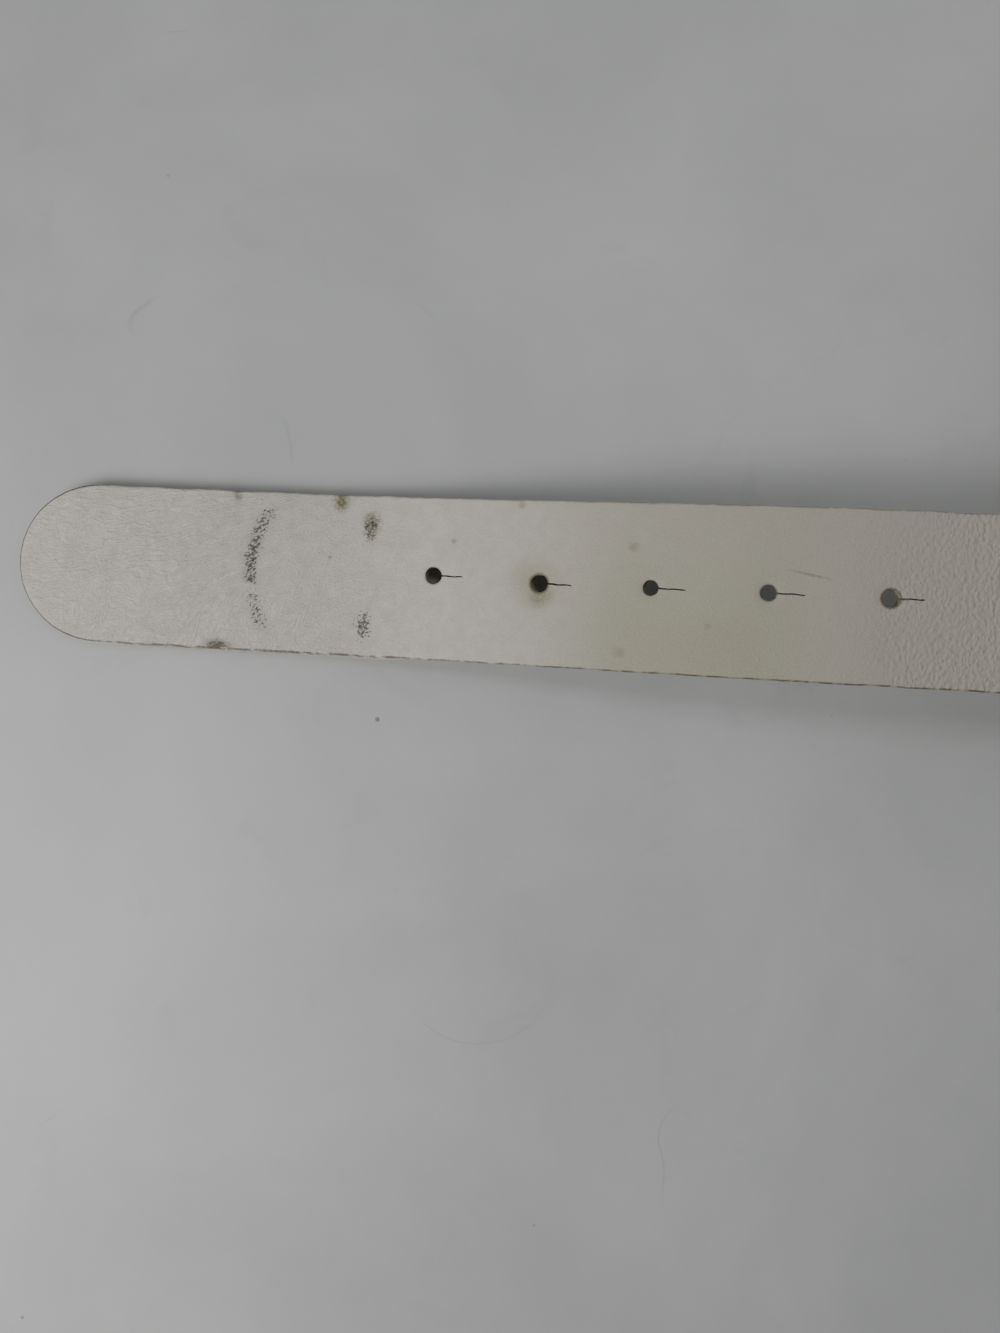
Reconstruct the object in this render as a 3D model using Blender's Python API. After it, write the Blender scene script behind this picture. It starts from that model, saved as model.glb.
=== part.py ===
"""A white leather waist belt with five keyhole stud holes and a plate buckle that hooks into them.

The belt lies on a floor at Z = 0. Its tail lies flat with the face up, then rises and turns on edge, and the
rest stands as one open loop with the buckle inside it. Units are metres.

The strap is laid out in its own coordinates (s, w, n): s runs along the strap from the tip to the buckle,
w across its width and n through its thickness, towards the face. Everything on the strap is placed with them.
"""

import math

import bmesh
import bpy
import numpy as np
from mathutils import Matrix, Vector

# ---------------------------------------------------------------- driving dimensions
STRAP_WIDTH = 0.038
HALF_WIDTH = STRAP_WIDTH / 2
HALF_THICKNESS = 0.0018
GAP = 0.0003

HOLE_COUNT = 5
HOLE_PITCH = 0.0254
TIP_TO_FIRST_HOLE = 4 * HOLE_PITCH
FIRST_HOLE_OFFSET = 0.0008
HOLE_RADIUS = 0.0020
SLIT_LENGTH = 0.0055
SLIT_WIDTH = 0.0005
BELT_SIZE = 0.850
BAR_S = TIP_TO_FIRST_HOLE + 2 * HOLE_PITCH + BELT_SIZE

# Layers of the strap, as (lowest n, highest n, half width).
FACE = (0.0003, 0.0018, HALF_WIDTH)
CORE = (-0.0004, 0.0, HALF_WIDTH - 0.0015)
LINING = (-0.0018, -0.0007, HALF_WIDTH)

# The route: where the tail rises, where it turns on edge, and where the loop curves.
RISE = (0.067, 0.205)
TWIST = (0.235, 0.355)
LOOP_START = (0.320, 0.385)
CURL_START = (0.835, 0.870)
CURL_END = (0.918, 0.946)
CURL_RADIUS = 0.042
TOTAL_TURN_DEG = 385
END_LIFT = (0.650, 0.920)

# Where the strap is cut into the rigid bodies that its flex joints connect.
TAIL_BEND_S = 0.230
LOOP_BEND_S = 0.600
END_BEND_S = 0.885

# The buckle end. u is the distance back along the strap from the hinge bar.
BAR_RADIUS = 0.0015
FOLD_RADIUS = BAR_RADIUS + GAP
BAR_N = FACE[0] - FOLD_RADIUS
FOLD_MID_RADIUS = FOLD_RADIUS + (FACE[1] - FACE[0]) / 2
NECK_HALF_WIDTH = 0.0092
SHOULDER_U = 0.006
FLAP_CUT_U = 0.002
FLAP_LENGTH = 0.030
FLAP_END_RADIUS = 0.029

# The buckle.
PLATE_LENGTH = 0.057
PLATE_HEIGHT = 0.045
PLATE_CORNER = 0.009
PLATE_BACK_N = 0.0029
PLATE_OVERLAP = 0.008
STUD_U = -0.041
LUG_W = 0.0115
LUG_THICKNESS = 0.0035
LUG_RADIUS = 0.0032

# The two snap fasteners that close the turned-back flap, and the keeper.
SNAP_U = 0.017
SNAP_W = 0.009
KEEPER_U = 0.044
KEEPER_LENGTH = 0.012
KEEPER_THICKNESS = 0.0013

SWEEP_STEP = 0.0065
TWIST_STEP = 0.0032
TWIST_COLUMNS = 8
ROUND_STEPS = 20


# ---------------------------------------------------------------- the route of the strap
def smooth(x, start, end):
    """0 before start, 1 after end, and 3q^2 - 2q^3 between them."""
    q = np.clip((x - start) / (end - start), 0, 1)
    return q * q * (3 - 2 * q)


def route():
    """The strap's middle line as arrays over s: places and the unit vectors along, across and through it."""
    s = np.linspace(0, BAR_S, 4001)
    middle = [sum(pair) / 2 for pair in (LOOP_START, CURL_START, CURL_END)]
    curl_turn = (middle[2] - middle[1]) / CURL_RADIUS
    loop_curve = (math.radians(TOTAL_TURN_DEG) - curl_turn) / (middle[1] - middle[0])
    curve = loop_curve * smooth(s, *LOOP_START)
    curve += (1 / CURL_RADIUS - loop_curve) * smooth(s, *CURL_START)
    curve -= smooth(s, *CURL_END) / CURL_RADIUS
    step = s[1] - s[0]
    heading = np.concatenate([[0], np.cumsum((curve[1:] + curve[:-1]) / 2 * step)])
    height = HALF_THICKNESS + (HALF_WIDTH - HALF_THICKNESS) * smooth(s, *RISE)
    height += (PLATE_HEIGHT / 2 - HALF_WIDTH) * smooth(s, *END_LIFT)
    climb = np.arcsin(np.gradient(height, s))
    turn = np.radians(90) * smooth(s, *TWIST)
    level = np.stack([np.cos(heading), np.sin(heading), 0 * s], axis=1)
    left = np.stack([-np.sin(heading), np.cos(heading), 0 * s], axis=1)
    up = np.array([0.0, 0.0, 1.0])
    along = level * np.cos(climb)[:, None] + up * np.sin(climb)[:, None]
    normal = up * np.cos(climb)[:, None] - level * np.sin(climb)[:, None]
    across = left * np.cos(turn)[:, None] + normal * np.sin(turn)[:, None]
    through = normal * np.cos(turn)[:, None] - left * np.sin(turn)[:, None]
    places = np.concatenate([np.zeros((1, 3)), np.cumsum((along[1:] + along[:-1]) / 2 * step, axis=0)])
    places[:, 0] -= HALF_WIDTH
    places[:, 2] = height
    return s, places, along, across, through


S, PLACES, ALONG, ACROSS, THROUGH = route()


def frame_at(s):
    """(place, along, across, through) of the strap's middle line at s, beyond the bar in a straight line."""
    inside = min(s, BAR_S)
    found = []
    for table in (PLACES, ALONG, ACROSS, THROUGH):
        found.append(Vector([float(np.interp(inside, S, table[:, axis])) for axis in range(3)]))
    place, along, across, through = found
    along.normalize()
    through = (through - along * through.dot(along)).normalized()
    across = through.cross(along)
    return place + along * (s - inside), along, across, through


def strap_point(s, w, n):
    """The point at (s, w, n). Past the bar the strap folds round it and comes back along the lining side."""
    if s <= BAR_S:
        place, _, across, through = frame_at(s)
        return place + across * w + through * n
    place, along, across, through = frame_at(BAR_S)
    radius = n - BAR_N
    angle = min((s - BAR_S) / FOLD_MID_RADIUS, math.pi)
    back = s - BAR_S - math.pi * FOLD_MID_RADIUS
    centre = place + through * BAR_N + across * w
    point = centre + (through * math.cos(angle) + along * math.sin(angle)) * radius
    return point - along * max(back, 0)


def local_matrix(s, w=0.0, n=0.0):
    """A frame on the strap whose X is along it, Y across it and Z out of its face."""
    place, along, across, through = frame_at(s)
    matrix = Matrix((along, across, through)).transposed().to_4x4()
    matrix.translation = place + across * w + through * n
    return matrix


# ---------------------------------------------------------------- making objects
def clear_scene():
    for old in list(bpy.data.objects):
        bpy.data.objects.remove(old, do_unlink=True)


def material(name, colour, roughness, metallic=0.0):
    made = bpy.data.materials.new(name)
    made.use_nodes = True
    shader = made.node_tree.nodes["Principled BSDF"]
    shader.inputs["Base Color"].default_value = (*colour, 1.0)
    shader.inputs["Roughness"].default_value = roughness
    shader.inputs["Metallic"].default_value = metallic
    return made


def add_object(name, bm, finish, parent=None):
    """Turns bm into a named object in world space, with its faces pointing out and round parts smooth."""
    bmesh.ops.recalc_face_normals(bm, faces=bm.faces)
    mesh = bpy.data.meshes.new(name)
    bm.to_mesh(mesh)
    bm.free()
    mesh.shade_smooth()
    mesh.set_sharp_from_angle(angle=math.radians(35))
    made = bpy.data.objects.new(name, mesh)
    bpy.context.scene.collection.objects.link(made)
    mesh.materials.append(finish)
    if parent is not None:
        made.parent = parent
    return made


def cut_with(target, cutter):
    """A Boolean difference that stays on the target as a modifier."""
    cut = target.modifiers.new("cut_" + cutter.name, "BOOLEAN")
    cut.operation = "DIFFERENCE"
    cut.solver = "EXACT"
    cut.object = cutter


def hide_cutter(cutter):
    cutter.hide_render = True
    cutter.display_type = "WIRE"


def joint_empty(name, matrix):
    empty = bpy.data.objects.new(name, None)
    empty.matrix_world = matrix
    bpy.context.scene.collection.objects.link(empty)
    return empty


def place_with(made, empty):
    """Parents an object that was built in world space, and leaves it where it is."""
    bpy.context.view_layer.update()
    made.parent = empty
    made.matrix_parent_inverse = empty.matrix_world.inverted()


def loft(rings, close_ends=True, loop=False):
    """A bmesh through rings of points with equal counts, with flat ends, or closed on itself."""
    bm = bmesh.new()
    made = [[bm.verts.new(point) for point in ring] for ring in rings]
    pairs = list(zip(made, made[1:]))
    if loop:
        pairs.append((made[-1], made[0]))
    count = len(made[0])
    for low, high in pairs:
        for i in range(count):
            j = (i + 1) % count
            bm.faces.new((low[i], low[j], high[j], high[i]))
    if close_ends and not loop:
        bm.faces.new(made[0][::-1])
        bm.faces.new(made[-1])
    return bm


def turned(profile, matrix, steps=ROUND_STEPS):
    """A solid turned about the frame's Z. The profile is (radius, height) points; a ring closes on itself."""
    angles = [2 * math.pi * i / steps for i in range(steps)]
    rings = []
    for radius, height in profile:
        rings.append([matrix @ Vector((radius * math.cos(a), radius * math.sin(a), height)) for a in angles])
    return loft(rings)


def turned_ring(profile, matrix, steps=ROUND_STEPS):
    """A solid with a hole through it, turned about the frame's Z from a closed profile."""
    angles = [2 * math.pi * i / steps for i in range(steps)]
    rings = []
    for angle in angles:
        rings.append([matrix @ Vector((r * math.cos(angle), r * math.sin(angle), h)) for r, h in profile])
    return loft(rings, loop=True)


def rounded_rectangle(length, height, corner, steps=6):
    """The outline of a rectangle with round corners, about its own centre."""
    points = []
    for index, (sx, sy) in enumerate(((1, 1), (-1, 1), (-1, -1), (1, -1))):
        cx = sx * (length / 2 - corner)
        cy = sy * (height / 2 - corner)
        for i in range(steps + 1):
            angle = math.radians(90) * (index + i / steps)
            points.append((cx + corner * math.cos(angle), cy + corner * math.sin(angle)))
    return points


# ---------------------------------------------------------------- the strap
def stations(start, end, step=SWEEP_STEP):
    """Evenly spaced s values from start to end, no further apart than step."""
    count = max(2, math.ceil((end - start) / step) + 1)
    return list(np.linspace(start, end, count))


def tip_stations(half_width):
    """s values along the rounded tip, which is half a circle, starting just inside its end."""
    inset = HALF_WIDTH - half_width
    angles = np.radians(np.linspace(8, 90, 12))
    return [inset + half_width * (1 - math.cos(a)) for a in angles]


def tip_half_width(s, half_width):
    """How far the strap reaches from its middle line at s, with a round tip."""
    inset = HALF_WIDTH - half_width
    run = HALF_WIDTH - max(s, inset)
    return math.sqrt(max(half_width**2 - run**2, 0)) if run > 0 else half_width


def sweep(name, values, layer, finish, parent, width_at=None, columns=1):
    """A layer of the strap through the given s values, in columns across it. width_at gives a half width that changes."""
    low, high, half_width = layer
    rings = []
    for s in values:
        half = width_at(s) if width_at else half_width
        across = [half * (2 * i / columns - 1) for i in range(columns + 1)]
        outline = [(w, low) for w in across] + [(w, high) for w in reversed(across)]
        rings.append([strap_point(s, w, n) for w, n in outline])
    bm = loft(rings)
    bmesh.ops.triangulate(bm, faces=[face for face in bm.faces if len(face.verts) == 4])
    made = add_object(name, bm, finish)
    place_with(made, parent)
    return made


def keyhole(s, w, bm):
    """Adds one keyhole prism to bm: a round hole and a slit that runs from it towards the buckle."""
    half_slit = SLIT_WIDTH / 2
    mouth = math.asin(half_slit / HOLE_RADIUS)
    angles = np.linspace(mouth, 2 * math.pi - mouth, ROUND_STEPS)
    outline = [(HOLE_RADIUS * math.cos(a), HOLE_RADIUS * math.sin(a)) for a in angles]
    slit_end = HOLE_RADIUS + SLIT_LENGTH
    outline += [(slit_end, -half_slit), (slit_end, half_slit)]
    matrix = local_matrix(s, w)
    reach = HALF_THICKNESS + 0.002
    low = [bm.verts.new(matrix @ Vector((x, y, -reach))) for x, y in outline]
    high = [bm.verts.new(matrix @ Vector((x, y, reach))) for x, y in outline]
    for i in range(len(outline)):
        j = (i + 1) % len(outline)
        bm.faces.new((low[i], low[j], high[j], high[i]))
    bm.faces.new(low[::-1])
    bm.faces.new(high)


def hole_cutter(finish):
    bm = bmesh.new()
    for index in range(HOLE_COUNT):
        keyhole(TIP_TO_FIRST_HOLE + index * HOLE_PITCH, 0 if index else FIRST_HOLE_OFFSET, bm)
    cutter = add_object("stud_hole_cutter", bm, finish)
    hide_cutter(cutter)
    return cutter


def snap_hole_cutter(name, radius, low, high, side, finish):
    """A plain round cutter along n, through the strap or the flap, where one snap sits."""
    matrix = local_matrix(BAR_S - SNAP_U, side * SNAP_W)
    cutter = add_object(name, turned([(radius, low), (radius, high)], matrix), finish)
    hide_cutter(cutter)
    return cutter


def end_half_width(s):
    """The strap's half width near the bar: full up to the shoulder, then the neck that folds round the bar."""
    return HALF_WIDTH if s <= BAR_S - SHOULDER_U else NECK_HALF_WIDTH


def flap_half_width(s):
    """The flap's half width: the neck, a shoulder, the full strap, then its rounded end."""
    u = s - BAR_S - math.pi * FOLD_MID_RADIUS
    if u < SHOULDER_U:
        return NECK_HALF_WIDTH
    to_centre = u - (FLAP_LENGTH - FLAP_END_RADIUS)
    return min(HALF_WIDTH, math.sqrt(max(FLAP_END_RADIUS**2 - to_centre**2, 0)))


def build_strap(leather, backing, lining, parents):
    """The three glued layers of the strap in their four rigid sections, and the flap."""
    half_gap = GAP / 2
    holes = hole_cutter(lining)
    tail_end = TAIL_BEND_S - half_gap
    for name, layer, finish in (("face", FACE, leather), ("core", CORE, backing), ("lining", LINING, lining)):
        half_width = layer[2]
        values = tip_stations(half_width) + stations(HALF_WIDTH, tail_end)[1:]
        tail = sweep(
            name + "_tail", values, layer, finish, parents["tail"], lambda s, h=half_width: tip_half_width(s, h)
        )
        cut_with(tail, holes)
        values = stations(TAIL_BEND_S + half_gap, TWIST[1], TWIST_STEP)
        values += stations(TWIST[1], LOOP_BEND_S - half_gap)[1:]
        sweep(name + "_loop_outer", values, layer, finish, parents["loop"], columns=TWIST_COLUMNS)
        values = stations(LOOP_BEND_S + half_gap, END_BEND_S - half_gap)
        sweep(name + "_loop_inner", values, layer, finish, parents["loop_inner"])
    end_start = END_BEND_S + half_gap
    shoulder = BAR_S - SHOULDER_U
    fold_end = BAR_S + math.pi * FOLD_MID_RADIUS
    fold = [BAR_S + math.pi * FOLD_MID_RADIUS * i / 8 for i in range(9)]
    neck = [shoulder + GAP, *fold, fold_end + FLAP_CUT_U - half_gap]
    end = parents["end"]
    face_end = sweep("face_end", stations(end_start, shoulder) + neck, FACE, leather, end, end_half_width)
    core_end = sweep("core_end", stations(end_start, shoulder - 0.002), CORE, backing, end)
    lining_end = sweep("lining_end", stations(end_start, shoulder), LINING, lining, end)
    flap_start = fold_end + FLAP_CUT_U + half_gap
    flap_shoulder = fold_end + SHOULDER_U
    full = fold_end + FLAP_LENGTH - FLAP_END_RADIUS + math.sqrt(FLAP_END_RADIUS**2 - HALF_WIDTH**2)
    values = [flap_start, flap_shoulder - GAP, *stations(flap_shoulder, full)]
    turns = np.linspace(math.asin(HALF_WIDTH / FLAP_END_RADIUS), math.radians(5), 9)[1:]
    values += [fold_end + FLAP_LENGTH - FLAP_END_RADIUS * (1 - math.cos(t)) for t in turns]
    flap = sweep("flap", values, FACE, leather, parents["flap"], flap_half_width)
    return (face_end, core_end, lining_end), flap


# ---------------------------------------------------------------- the snap fasteners
def build_snaps(strap_layers, flap, steel, parents):
    """Two snaps. Each has a rivet post and stud on the strap, and a socket and cap on the flap."""
    flap_inner = 2 * BAR_N - FACE[0]
    flap_outer = 2 * BAR_N - FACE[1]
    for label, side in (("lower", -1), ("upper", 1)):
        matrix = local_matrix(BAR_S - SNAP_U, side * SNAP_W)
        shank_hole = snap_hole_cutter(f"shank_cutter_{label}", 0.0015, -0.003, 0.003, side, steel)
        for layer in strap_layers:
            cut_with(layer, shank_hole)
        low, high = flap_outer - 0.001, flap_inner + 0.001
        cut_with(flap, snap_hole_cutter(f"barrel_cutter_{label}", 0.0026, low, high, side, steel))
        head = FACE[1] + 0.00015
        post = [(0.0012, -0.0026), (0.0012, head), (0.0040, head), (0.0040, head + 0.0003)]
        post += [(0.0032, head + 0.0006), (0.0012, head + 0.0007)]
        place_with(add_object(f"snap_post_{label}", turned(post, matrix), steel), parents["end"])
        base = LINING[0] - 0.00015
        stud = [(0.00135, base), (0.0038, base), (0.0038, base - 0.0003), (0.0018, base - 0.00045)]
        stud += [(0.0016, base - 0.0011), (0.0017, base - 0.0019), (0.0013, base - 0.0023)]
        stud += [(0.00055, base - 0.0023), (0.00055, base - 0.0011), (0.00135, base - 0.0011)]
        place_with(add_object(f"snap_stud_{label}", turned_ring(stud, matrix), steel), parents["end"])
        seat = flap_inner + 0.00015
        socket = [(0.0020, seat), (0.0038, seat), (0.0038, seat + 0.0003), (0.0034, seat + 0.0005)]
        socket += [(0.0020, seat + 0.0005)]
        place_with(add_object(f"snap_socket_{label}", turned_ring(socket, matrix), steel), parents["flap"])
        rim = flap_outer - 0.00015
        cap = [(0.0024, flap_inner - 0.00015), (0.0024, rim), (0.0047, rim), (0.0048, rim - 0.0004)]
        cap += [(0.0040, rim - 0.0008), (0.0024, rim - 0.0011), (0.0006, rim - 0.0012)]
        cap += [(0.0006, rim - 0.0004), (0.0020, rim - 0.0004), (0.0020, flap_inner - 0.00015)]
        place_with(add_object(f"snap_cap_{label}", turned_ring(cap, matrix), steel), parents["flap"])


# ---------------------------------------------------------------- the buckle
def lug_blank(w, finish):
    """One ear of the buckle's hinge: a flat tongue from the plate's back with a round end about the bar."""
    matrix = local_matrix(BAR_S)
    root = PLATE_BACK_N + 0.0008
    turns = [math.pi + math.pi * i / 12 for i in range(13)]
    outline = [(LUG_RADIUS * math.cos(a), BAR_N + LUG_RADIUS * math.sin(a)) for a in turns]
    outline += [(LUG_RADIUS, root), (-LUG_RADIUS, root)]
    sides = (w - LUG_THICKNESS / 2, w + LUG_THICKNESS / 2)
    rings = [[matrix @ Vector((x, side, z)) for x, z in outline] for side in sides]
    blank = add_object("lug_blank", loft(rings), finish)
    hide_cutter(blank)
    return blank


def along_bar(radius, half_length):
    """A cylinder on the hinge bar's axis."""
    across_to_z = Matrix.Rotation(math.radians(-90), 4, "X")
    matrix = local_matrix(BAR_S, 0, BAR_N) @ across_to_z
    return turned([(radius, -half_length), (radius, half_length)], matrix)


def build_buckle(brass, steel, parent):
    """The cast plate with its two hinge lugs, the stud on its back and the steel bar across the lugs."""
    centre = BAR_S - PLATE_OVERLAP + PLATE_LENGTH / 2
    matrix = local_matrix(centre)
    rings = []
    for inset, n in ((0.0005, 0), (0, 0.0004), (0, 0.0019), (0.0007, 0.0025), (0.0032, 0.0025), (0.0037, 0.0019)):
        outline = rounded_rectangle(
            PLATE_LENGTH - 2 * inset, PLATE_HEIGHT - 2 * inset, PLATE_CORNER - inset
        )
        rings.append([matrix @ Vector((x, y, PLATE_BACK_N + n)) for x, y in outline])
    plate = add_object("buckle_plate", loft(rings), brass)
    for w in (-LUG_W, LUG_W):
        join = plate.modifiers.new("lug", "BOOLEAN")
        join.operation = "UNION"
        join.solver = "EXACT"
        join.object = lug_blank(w, brass)
    bar_hole = add_object("bar_cutter", along_bar(BAR_RADIUS + 0.00015, LUG_W + 0.004), steel)
    hide_cutter(bar_hole)
    cut_with(plate, bar_hole)
    stud_matrix = local_matrix(BAR_S - STUD_U)
    socket = add_object("stud_socket_cutter", turned([(0.0014, 0.002), (0.0014, 0.0042)], stud_matrix), steel)
    hide_cutter(socket)
    cut_with(plate, socket)
    place_with(plate, parent)
    bar = add_object("hinge_bar", along_bar(BAR_RADIUS, LUG_W + LUG_THICKNESS / 2 - GAP), steel)
    place_with(bar, parent)
    seat = PLATE_BACK_N - 0.00015
    profile = [(0.0012, seat + 0.0012), (0.0012, seat), (0.0030, seat), (0.0030, seat - 0.0006)]
    profile += [(0.0019, seat - 0.0010), (0.0019, seat - 0.0048), (0.0028, seat - 0.0056)]
    profile += [(0.0032, seat - 0.0066), (0.0028, seat - 0.0076), (0.0016, seat - 0.0082)]
    stud = add_object("hook_stud", turned(profile, stud_matrix), brass)
    place_with(stud, parent)


# ---------------------------------------------------------------- the keeper
def keeper_outline(grow):
    """The keeper's inner outline across the strap, or its outer one when grown by the leather's thickness."""
    inner_height = STRAP_WIDTH + 0.0016
    room_n = (-0.0065, 0.0023)
    depth = room_n[1] - room_n[0]
    middle = sum(room_n) / 2
    outline = rounded_rectangle(inner_height + 2 * grow, depth + 2 * grow, 0.0014 + grow, steps=3)
    return [(w, n + middle) for w, n in outline]


def box_points(matrix, size, centre):
    """The two rings of a box, for loft, in the given frame."""
    rings = []
    for x in (-0.5, 0.5):
        ring = [(x * size[0], y * size[1], z * size[2]) for y, z in ((-0.5, -0.5), (0.5, -0.5), (0.5, 0.5), (-0.5, 0.5))]
        rings.append([matrix @ (Vector(point) + Vector(centre)) for point in ring])
    return rings


def build_keeper(leather, steel, parent):
    """A leather band round the strap, butted on its inner side and closed there by a steel staple."""
    matrix = local_matrix(BAR_S - KEEPER_U)
    inner = keeper_outline(0)
    outer = keeper_outline(KEEPER_THICKNESS)
    rings = []
    for outline, x in ((outer, -0.5), (outer, 0.5), (inner, 0.5), (inner, -0.5)):
        rings.append([matrix @ Vector((x * KEEPER_LENGTH, w, n)) for w, n in outline])
    band = add_object("keeper_band", loft(rings, loop=True), leather)
    back_n = min(n for _, n in outer)
    joint = (0, 0, back_n + KEEPER_THICKNESS / 2)
    bm = loft(box_points(matrix, (0.02, GAP, 0.002), joint))
    butt = add_object("keeper_butt_cutter", bm, steel)
    hide_cutter(butt)
    cut_with(band, butt)
    leg_w, wire = 0.0026, 0.0006
    for index, side in enumerate((-1, 1)):
        hole = loft(box_points(matrix, (wire + 0.0004, wire + 0.0004, 0.004), (0, side * leg_w, back_n)))
        cutter = add_object(f"staple_leg_cutter_{index + 1}", hole, steel)
        hide_cutter(cutter)
        cut_with(band, cutter)
    place_with(band, parent)
    crown = back_n - 0.0003 - wire / 2
    top, foot = crown - wire / 2, back_n + 0.0010
    low, high = leg_w - wire / 2, leg_w + wire / 2
    outline = [(-high, top), (high, top), (high, foot), (low, foot), (low, crown + wire / 2)]
    outline += [(-low, crown + wire / 2), (-low, foot), (-high, foot)]
    rings = [[matrix @ Vector((x, w, n)) for w, n in outline] for x in (-wire / 2, wire / 2)]
    place_with(add_object("keeper_staple", loft(rings), steel), parent)


# ---------------------------------------------------------------- the whole belt
def build_joints():
    """One empty on each joint's axis. A body's pieces are its children; the loop is the body that stays."""
    outer = local_matrix(TAIL_BEND_S, 0, HALF_THICKNESS)
    fold_back = local_matrix(BAR_S - FLAP_CUT_U, 0, 2 * BAR_N - FACE[1])
    joints = {
        "loop": joint_empty("loop_body", Matrix.Identity(4)),
        "tail": joint_empty("tail_bend", outer),
        "loop_inner": joint_empty("loop_bend", local_matrix(LOOP_BEND_S, 0, HALF_THICKNESS)),
        "end": joint_empty("end_bend", local_matrix(END_BEND_S, 0, HALF_THICKNESS)),
        "flap": joint_empty("flap_open", fold_back),
        "buckle": joint_empty("buckle_swing", local_matrix(BAR_S, 0, BAR_N)),
        "keeper": joint_empty("keeper_slide", local_matrix(BAR_S - KEEPER_U)),
    }
    parents = {"tail": "loop", "loop_inner": "loop", "end": "loop_inner"}
    parents.update({"flap": "end", "buckle": "end", "keeper": "end"})
    for child, parent in parents.items():
        place_with(joints[child], joints[parent])
    bpy.context.view_layer.update()
    return joints


def main():
    clear_scene()
    leather = material("white_leather", (0.66, 0.63, 0.58), 0.45)
    lining_leather = material("lining_leather", (0.62, 0.56, 0.47), 0.75)
    backing = material("bonded_core", (0.42, 0.33, 0.25), 0.85)
    brass = material("pale_brass", (0.72, 0.60, 0.38), 0.30, 1.0)
    steel = material("nickel_steel", (0.62, 0.61, 0.58), 0.30, 1.0)
    joints = build_joints()
    strap_layers, flap = build_strap(leather, backing, lining_leather, joints)
    build_snaps(strap_layers, flap, steel, joints)
    build_buckle(brass, steel, joints["buckle"])
    build_keeper(leather, steel, joints["keeper"])
    for name in ("tail", "loop_inner", "end", "flap", "buckle", "keeper"):
        empty = joints[name]
        axis = empty.matrix_world.col[1].to_3d()
        print(empty.name, "at", [round(x, 6) for x in empty.matrix_world.translation], "across", [round(x, 6) for x in axis])


main()
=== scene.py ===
import math

import bmesh
import bpy
import numpy as np
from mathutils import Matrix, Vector


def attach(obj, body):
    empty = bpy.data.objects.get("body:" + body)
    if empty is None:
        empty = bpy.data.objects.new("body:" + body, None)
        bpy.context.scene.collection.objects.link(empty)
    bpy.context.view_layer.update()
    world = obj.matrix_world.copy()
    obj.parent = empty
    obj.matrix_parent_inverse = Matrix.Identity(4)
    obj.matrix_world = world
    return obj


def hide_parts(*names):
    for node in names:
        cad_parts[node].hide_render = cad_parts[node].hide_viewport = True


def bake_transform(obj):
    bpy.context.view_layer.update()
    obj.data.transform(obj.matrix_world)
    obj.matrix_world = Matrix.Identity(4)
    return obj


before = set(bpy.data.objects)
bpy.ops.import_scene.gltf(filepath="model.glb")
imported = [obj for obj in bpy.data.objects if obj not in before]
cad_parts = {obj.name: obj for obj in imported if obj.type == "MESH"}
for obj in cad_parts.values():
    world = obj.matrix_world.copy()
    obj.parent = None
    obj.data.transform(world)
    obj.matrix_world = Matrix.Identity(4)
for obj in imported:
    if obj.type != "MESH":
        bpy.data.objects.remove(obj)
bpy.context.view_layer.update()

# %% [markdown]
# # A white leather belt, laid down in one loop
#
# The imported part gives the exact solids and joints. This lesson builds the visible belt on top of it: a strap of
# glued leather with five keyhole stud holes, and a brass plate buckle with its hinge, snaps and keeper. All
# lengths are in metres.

STRAP_WIDTH = 0.038
HALF_WIDTH = STRAP_WIDTH / 2
HALF_THICKNESS = 0.0018
HOLE_PITCH = 0.0254
FIRST_HOLE_S = 4 * HOLE_PITCH
FIRST_HOLE_W = 0.0008
HOLE_RADIUS = 0.0020
SLIT_LENGTH = 0.0055
TIP_REACH = 0.0008
BAR_S = FIRST_HOLE_S + 2 * HOLE_PITCH + 0.850
print("strap", STRAP_WIDTH, "wide, hinge bar at s =", BAR_S)

# %% [markdown]
# ## The route
#
# The strap has its own coordinates: **s** along it from the tip, **w** across it and **n** out of its face. The
# route gives a place and two directions for every s, and the third is their cross product. It climbs by a smooth
# step, turns on edge by another, and its heading is the integral of a curvature that rises, holds and changes
# sign once near the buckle.

# %%
RISE = (0.067, 0.205)
TWIST = (0.235, 0.355)
LOOP_START = (0.320, 0.385)
CURL_START = (0.835, 0.870)
CURL_END = (0.918, 0.946)
CURL_RADIUS = 0.042
TOTAL_TURN_DEG = 385
END_LIFT = (0.650, 0.920)
PLATE_HEIGHT = 0.045


def smooth(x, start, end):
    """0 before start, 1 after end, and 3q^2 - 2q^3 between them, where q is the share of the way."""
    q = np.clip((x - start) / (end - start), 0, 1)
    return q * q * (3 - 2 * q)


def running_sum(values, step):
    """The integral of values from the first one to each, by the trapezium rule."""
    inner = np.cumsum((values[1:] + values[:-1]) / 2 * step, axis=0)
    return np.concatenate([np.zeros_like(values[:1]), inner])


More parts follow.
